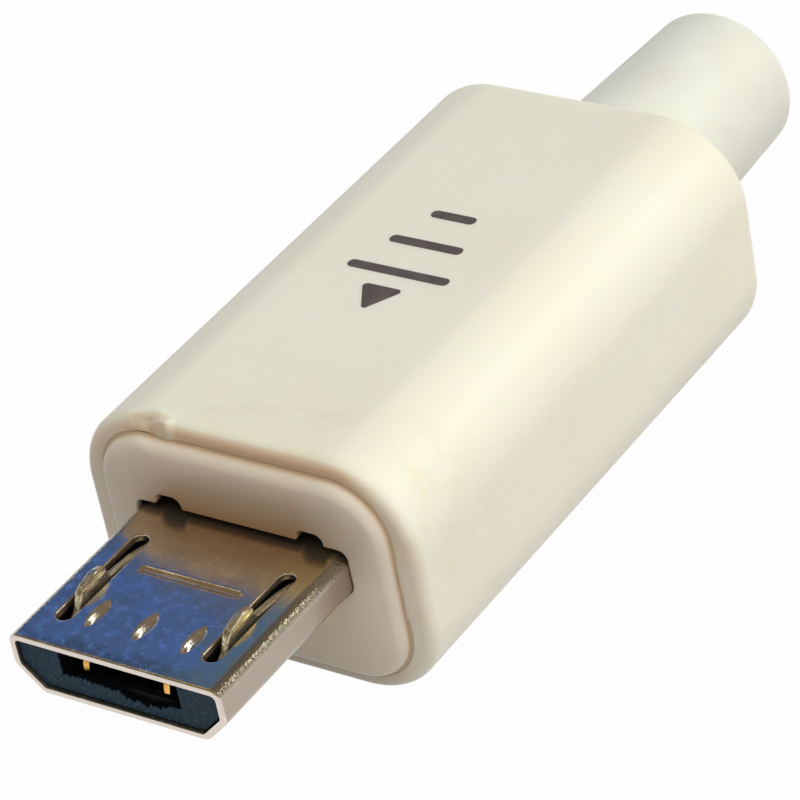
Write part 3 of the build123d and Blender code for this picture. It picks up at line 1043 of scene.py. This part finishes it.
# Height of the cavity's worn front lip over its width, as (x, z from the nose's middle), and
# the waves of its ragged edge, as (height, waves per millimetre, place in the noise)
LIP = ((-1.925, -0.17), (-1.2, -0.14), (-0.6, -0.2), (-0.1, -0.2), (0.05, -0.33), (0.7, -0.42),
       (1.2, -0.38), (1.45, -0.24), (1.925, -0.16))
RAGS = ((0.06, 5.5, 3.7), (0.11, 13, 0.3), (0.05, 34, 1.3))
CONTACT_PITCH = 0.65


def lip_points():
    """Points (x, z) along the cavity's front lip, with the ragged edge that wear left."""
    points = []
    for share in (i / 120 for i in range(121)):
        x = blend(LIP[0][0], LIP[-1][0], share)
        (x0, z0), (x1, z1) = next(ends for ends in zip(LIP, LIP[1:]) if x <= ends[1][0] + 1e-6)
        jag = sum(high * noise.noise(Vector((x * waves, row, 0))) for high, waves, row in RAGS)
        points.append(Vector((x, blend(z0, z1, (x - x0) / (x1 - x0)) + jag)))
    return points


def prism(outline, front, back):
    """A closed bar with this outline (x, z) from the nose's middle, between two stations."""
    mesh = bmesh.new()
    rings = [upright(outline, station, PLUG_MIDDLE) for station in (front, back)]
    closed_bar(mesh, rings, filled=True)
    bmesh.ops.recalc_face_normals(mesh, faces=mesh.faces)
    data = bpy.data.meshes.new("bar")
    mesh.to_mesh(data)
    mesh.free()
    return added("bar", data)


def box(x, width, low, high, front, back):
    """A closed box round a middle, between two heights and two stations."""
    left, right = x - width / 2, x + width / 2
    places = ((left, low), (right, low), (right, high), (left, high))
    return prism([Vector(p) for p in places], front, back)


def combined(base, others, operation):
    """The mesh of a bar after others are cut from it or joined to it."""
    for bar in others:
        change = base.modifiers.new("change", "BOOLEAN")
        change.operation, change.object, change.solver = operation, bar, "EXACT"
    bpy.context.view_layer.update()
    changed = base.evaluated_get(bpy.context.evaluated_depsgraph_get())
    data = bpy.data.meshes.new_from_object(changed)
    for bar in (base, *others):
        bpy.data.objects.remove(bar)
    return data


def build_insulator(settings, latch_settings):
    """The insulator: its body in the nose, the cavity with its ragged lip, and the rear block."""
    nose, latch = in_mm(settings), in_mm(latch_settings)
    recess, cavity_end, step_start, block_end = 0.12, 5.3, 12.6, 13.8
    top, floor, groove_floor, channel_floor, step = 1.2, -0.15, -0.53, -0.42, -0.52
    section = rounded(moved_in(nose_corners(nose), nose.sheet + 0.045), 4)
    block = box(0, 7.7, -1.5, 1.5, NOSE_BACK - 0.01, block_end)
    body = added("bar", combined(prism(section, recess, NOSE_BACK), [block], "UNION"))
    lip = lip_points()
    lip_shape = [*lip, Vector((lip[-1].x, top)), Vector((lip[0].x, top))]
    cutters = [prism(lip_shape, 0, 0.32), box(0, 3.85, floor, top, 0.3, cavity_end)]
    for number in range(-2, 3):
        groove = number * CONTACT_PITCH, 0.36, groove_floor, floor + 0.05
        cutters.append(box(*groove, 0.5, cavity_end))
    for side in (-1, 1):
        cutters.append(box(side * latch.spacing / 2, 0.46, channel_floor, 2, 0.9, 9.98))
    cutters.append(box(0, 9, step, 3, step_start, block_end + 1))
    mesh = bmesh.new()
    mesh.from_mesh(combined(body, cutters, "DIFFERENCE"))
    finish = filled_nylon(settings)
    return make_piece(
        "insulator_moulding", mesh, finish, "insulator_plastic", "insulator", sharp=30
    )


def build_contacts(settings):
    """The five gold-flashed spring strips, the outer two reaching nearest to the tip."""
    finish = gold_flash(settings)
    half_thick, crest, low, bend = 0.07, 0.3, -0.425, 0.2
    for number in range(1, 6):
        x = (number - 3) * CONTACT_PITCH
        tip = 0.45 if number in (1, 5) else 0.85
        ends = (tip, -0.06, 0.1), (13.5, low, 0.1)
        line = bent_line([ends[0], (tip + 0.04, crest, bend), (3.7, low, bend), ends[1]])
        rings = []
        for i, point in enumerate(line):
            ahead = (line[min(i + 1, len(line) - 1)] - line[max(i - 1, 0)]).normalized()
            out = Vector((-ahead.y, ahead.x)) * half_thick
            half = 0.1 + 0.045 * clamped((point.x - tip - 0.1) / 0.3)
            over, under = point + out, point - out
            ring = ((-half, over), (half, over), (half, under), (-half, under))
            rings.append([Vector((x + offset, p.x, PLUG_MIDDLE + p.y)) for offset, p in ring])
        mesh = bmesh.new()
        closed_bar(mesh, rings)
        piece = make_piece(
            f"contact_strip_{number}", mesh, finish, "contact_metal", f"contact_{number}"
        )
        soften = piece.modifiers.new("coined_edges", "BEVEL")
        soften.width, soften.segments, soften.limit_method = 0.02 * MM, 2, "ANGLE"


def bent_line(corners):
    """Points (y, z) along an open line whose inner corners are arcs."""
    points = [Vector(corners[0][:2])]
    for before, corner, after in zip(corners, corners[1:], corners[2:]):
        here = Vector(corner[:2])
        into = (here - Vector(before[:2])).normalized()
        out = (Vector(after[:2]) - here).normalized()
        turn = math.acos(max(-1, min(1, into.dot(out))))
        reach = corner[2] * math.tan(turn / 2)
        start, end = here - into * reach, here + out * reach
        for i in range(9):
            share = i / 8
            points.append(start.lerp(here, share).lerp(here.lerp(end, share), share))
    points.append(Vector(corners[-1][:2]))
    return points


# The studio

# Where the camera stands, in the shapes' millimetres
CAMERA_PLACE = (59.868, -58.738, 67.148)

# Lamps as name, direction, distance, width, power and colour; metal and gloss don't show these
LARGE_LAMPS = (
    ("key_lamp", (0.56, 0.64, 0.53), 0.3, 0.28, 0.4, (0.87, 1.0, 0.955)),
    ("top_lamp", (0.06, -0.24, 0.97), 0.32, 0.3, 0.575, (1.0, 1.0, 0.945)),
    ("side_lamp", (1.0, -0.15, 0.25), 0.32, 0.3, 0.465, (0.965, 0.975, 1.0)),
)
# These three, nearer than the large ones, light only what is metal or glossy
SMALL_LAMPS = (
    ("spark_lamp", (0.56, 0.64, 0.53), 0.24, 0.06, 0.044, (0.98, 1.0, 0.92)),
    ("glint_lamp", (0.45, -0.34, 0.81), 0.24, 0.012, 0.008, (1.0, 0.96, 0.9)),
    ("line_lamp", (-0.53, -0.02, 0.85), 0.24, 0.016, 0.005, (1.0, 0.97, 0.9)),
)


def soft_box(name, direction, distance, width, power, tint):
    """A square lamp that looks at the plug from a direction."""
    lamp = bpy.data.lights.new(name, "AREA")
    lamp.size, lamp.energy, lamp.color = width, power, tint
    holder = added(name, lamp)
    aim = Vector(direction).normalized()
    holder.location = aim * distance
    holder.rotation_euler = aim.to_track_quat("Z", "Y").to_euler()
    return holder


def panel(name, corners, material):
    """A flat object of the studio with four corners."""
    mesh = bpy.data.meshes.new(name)
    mesh.from_pydata([tuple(corner) for corner in corners], [], [(0, 1, 2, 3)])
    mesh.materials.append(material)
    return added(name, mesh)


def build_floor(settings):
    """A plain pale floor that keeps the plug's shadow."""
    half = 1.2
    material, node, _ = new_material("pale_studio_floor")
    path = node("LightPath")
    seen = calculate(node, "MAXIMUM", path["Is Camera Ray"], path["Is Glossy Ray"])
    # 1 for camera rays and for the rays that metal or clear pieces send out
    directly = calculate(node, "MAXIMUM", seen, path["Is Transmission Ray"])
    matt = node("BsdfDiffuse", {"Color": settings.floor})[0]
    white = node("Emission", {"Color": (1, 1, 1), "Strength": 1.0})[0]
    both = node("MixShader", (remap(node, directly, 0, 1, 0, 0.98), matt, white))[0]
    corners = [(-half, -half, 0), (half, -half, 0), (half, half, 0), (-half, half, 0)]
    floor = panel("studio_floor", corners, surfaced(material, both))


def build_wall(settings):
    """A blue wall, seen only in reflections, behind the plug's left."""
    aim = Vector((-0.53, 0.64, 0.56)).normalized()
    side = aim.cross(Vector((0, 0, 1))).normalized()
    centre, right, up = aim * 0.16, side * 0.085, side.cross(aim) * 0.06
    corners = [centre - right - up, centre + right - up, centre + right + up, centre - right + up]
    material, node, place = new_material("blue_painted_wall")
    patchy = product(node, patches(node, place, 30, 0.35, 0.65, detail=3), 0.35)
    across = node("VectorMath", (place, tuple(side)), operation="DOT_PRODUCT")["Value"]
    greyer = calculate(node, "MAXIMUM", patchy, remap(node, across, -0.01, 0.05, 0, 0.8))
    paint = layered(node, settings.wall, (greyer, "#51607A"))
    glow = node("Emission", {"Color": paint, "Strength": 1.0})[0]
    wall = panel("reflected_wall", corners, surfaced(material, glow))
    wall.visible_camera = False
    wall.visible_diffuse = False
    wall.visible_shadow = False


def build_camera(settings):
    """The camera at the photograph's angle."""
    camera = bpy.data.cameras.new("camera")
    camera.lens, camera.sensor_width = settings.lens, 36
    camera.clip_start, camera.clip_end = 0.001, 10
    holder = added("camera", camera)
    az, el, roll = settings.azimuth, settings.elevation, settings.roll
    back = Vector((math.sin(az) * math.cos(el), -math.cos(az) * math.cos(el), math.sin(el)))
    right = Vector((math.cos(az), math.sin(az), 0))
    up = back.cross(right)
    across = right * math.cos(roll) + up * math.sin(roll)
    upward = up * math.cos(roll) - right * math.sin(roll)
    turned = Matrix((across, upward, back)).transposed().to_4x4()
    holder.matrix_world = Matrix.Translation(TO_FRAME @ Vector(CAMERA_PLACE)) @ turned
    bpy.context.scene.camera = holder


def build_world():
    """White surroundings under a dim warm ceiling, which only reflections show."""
    world = bpy.data.worlds.new("white_room")
    bpy.context.scene.world = world
    world.use_nodes = True
    world.node_tree.nodes.clear()
    node = partial(add_node, world.node_tree)
    path = node("LightPath")
    mirrored = calculate(node, "MAXIMUM", path["Is Glossy Ray"], path["Is Transmission Ray"])
    shown = calculate(node, "MAXIMUM", mirrored, path["Is Camera Ray"])
    across, _, height = node("SeparateXYZ", (node("TexCoord")["Generated"],))
    white = (1, 1, 1)
    room = layered(node, white, (remap(node, height, 0.16, 0.42), "#80715A"))
    # The room is dimmer and cooler on the plug's left
    dim, bright = [0.08 * c for c in linear("#EBDDF2")], [0.37 * c for c in linear("#FFEFE8")]
    soft_light = layered(node, dim, (remap(node, across, -0.7, 0.2), bright))
    seen = layered(node, white, (mirrored, room))
    ambient = node("Background", {"Color": layered(node, soft_light, (shown, seen))})[0]
    node("OutputWorld", (ambient,))


def build_stage(settings):
    """Camera, lamps, floor and surroundings."""
    bpy.context.scene.view_settings.view_transform = "Standard"
    build_camera(settings)
    build_world()
    build_floor(settings)
    build_wall(settings)
    for lamp in LARGE_LAMPS:
        soft_box(*lamp).visible_glossy = False
    for lamp in SMALL_LAMPS:
        soft_box(*lamp).visible_diffuse = False


# Operators, one for each piece or group of like pieces


class PLUG_OT_cover(bpy.types.Operator):
    """Makes the outer cover"""

    bl_idname = "plug.cover"
    bl_label = "Outer cover"

    def execute(self, context):
        build_cover(context.scene.plug_cover)
        return {"FINISHED"}


class PLUG_OT_insert(bpy.types.Operator):
    """Makes the front insert"""

    bl_idname = "plug.insert"
    bl_label = "Front insert"

    def execute(self, context):
        build_insert(context.scene.plug_insert, context.scene.plug_nose)
        return {"FINISHED"}


class PLUG_OT_nose(bpy.types.Operator):
    """Makes the folded sheet of the nose"""

    bl_idname = "plug.nose"
    bl_label = "Nose"

    def execute(self, context):
        build_nose(context.scene.plug_nose, context.scene.plug_latch)
        return {"FINISHED"}


class PLUG_OT_latches(bpy.types.Operator):
    """Makes both latch blades"""

    bl_idname = "plug.latches"
    bl_label = "Latches"

    def execute(self, context):
        settings = context.scene.plug_latch
        half = settings.spacing / MM / 2
        for side, x in (("left", -half), ("right", half)):
            build_latch(settings, side, x)
        return {"FINISHED"}


class PLUG_OT_inside(bpy.types.Operator):
    """Makes the insulator and the contacts"""

    bl_idname = "plug.inside"
    bl_label = "Insulator and contacts"

    def execute(self, context):
        build_insulator(context.scene.plug_nose, context.scene.plug_latch)
        build_contacts(context.scene.plug_nose)
        return {"FINISHED"}


class PLUG_OT_tube(bpy.types.Operator):
    """Makes the strain relief"""

    bl_idname = "plug.tube"
    bl_label = "Strain relief"

    def execute(self, context):
        build_tube(context.scene.plug_tube)
        return {"FINISHED"}


class PLUG_OT_print(bpy.types.Operator):
    """Prints the plain mark on the cover's top"""

    bl_idname = "plug.print"
    bl_label = "Print"

    def execute(self, context):
        build_print(context.scene.plug_print)
        return {"FINISHED"}


class PLUG_OT_stage(bpy.types.Operator):
    """Sets up the camera, the lamps and the floor"""

    bl_idname = "plug.stage"
    bl_label = "Stage"

    def execute(self, context):
        build_stage(context.scene.plug_studio)
        return {"FINISHED"}


OPERATORS = (
    PLUG_OT_cover,
    PLUG_OT_insert,
    PLUG_OT_nose,
    PLUG_OT_latches,
    PLUG_OT_inside,
    PLUG_OT_tube,
    PLUG_OT_print,
    PLUG_OT_stage,
)


class PLUG_PT_panel(bpy.types.Panel):
    """Lists the pieces and the stage"""

    bl_idname = "PLUG_PT_panel"
    bl_label = "Cable plug"
    bl_space_type = "VIEW_3D"
    bl_region_type = "UI"
    bl_category = "Plug"

    def draw(self, context):
        for operator in OPERATORS:
            self.layout.operator(operator.bl_idname)


SETTINGS = {
    "plug_cover": PlugCoverSettings,
    "plug_insert": PlugInsertSettings,
    "plug_nose": PlugNoseSettings,
    "plug_latch": PlugLatchSettings,
    "plug_tube": PlugTubeSettings,
    "plug_print": PlugPrintSettings,
    "plug_studio": PlugStudioSettings,
}


def register():
    for name, group in SETTINGS.items():
        bpy.utils.register_class(group)
        setattr(bpy.types.Scene, name, bpy.props.PointerProperty(type=group))
    for made in (*OPERATORS, PLUG_PT_panel):
        bpy.utils.register_class(made)


def unregister():
    for made in (PLUG_PT_panel, *reversed(OPERATORS)):
        bpy.utils.unregister_class(made)
    for name, group in reversed(SETTINGS.items()):
        delattr(bpy.types.Scene, name)
        bpy.utils.unregister_class(group)


def main():
    register()
    for operator in OPERATORS:
        group, name = operator.bl_idname.split(".")
        getattr(getattr(bpy.ops, group), name)()


if __name__ == "__main__":
    main()
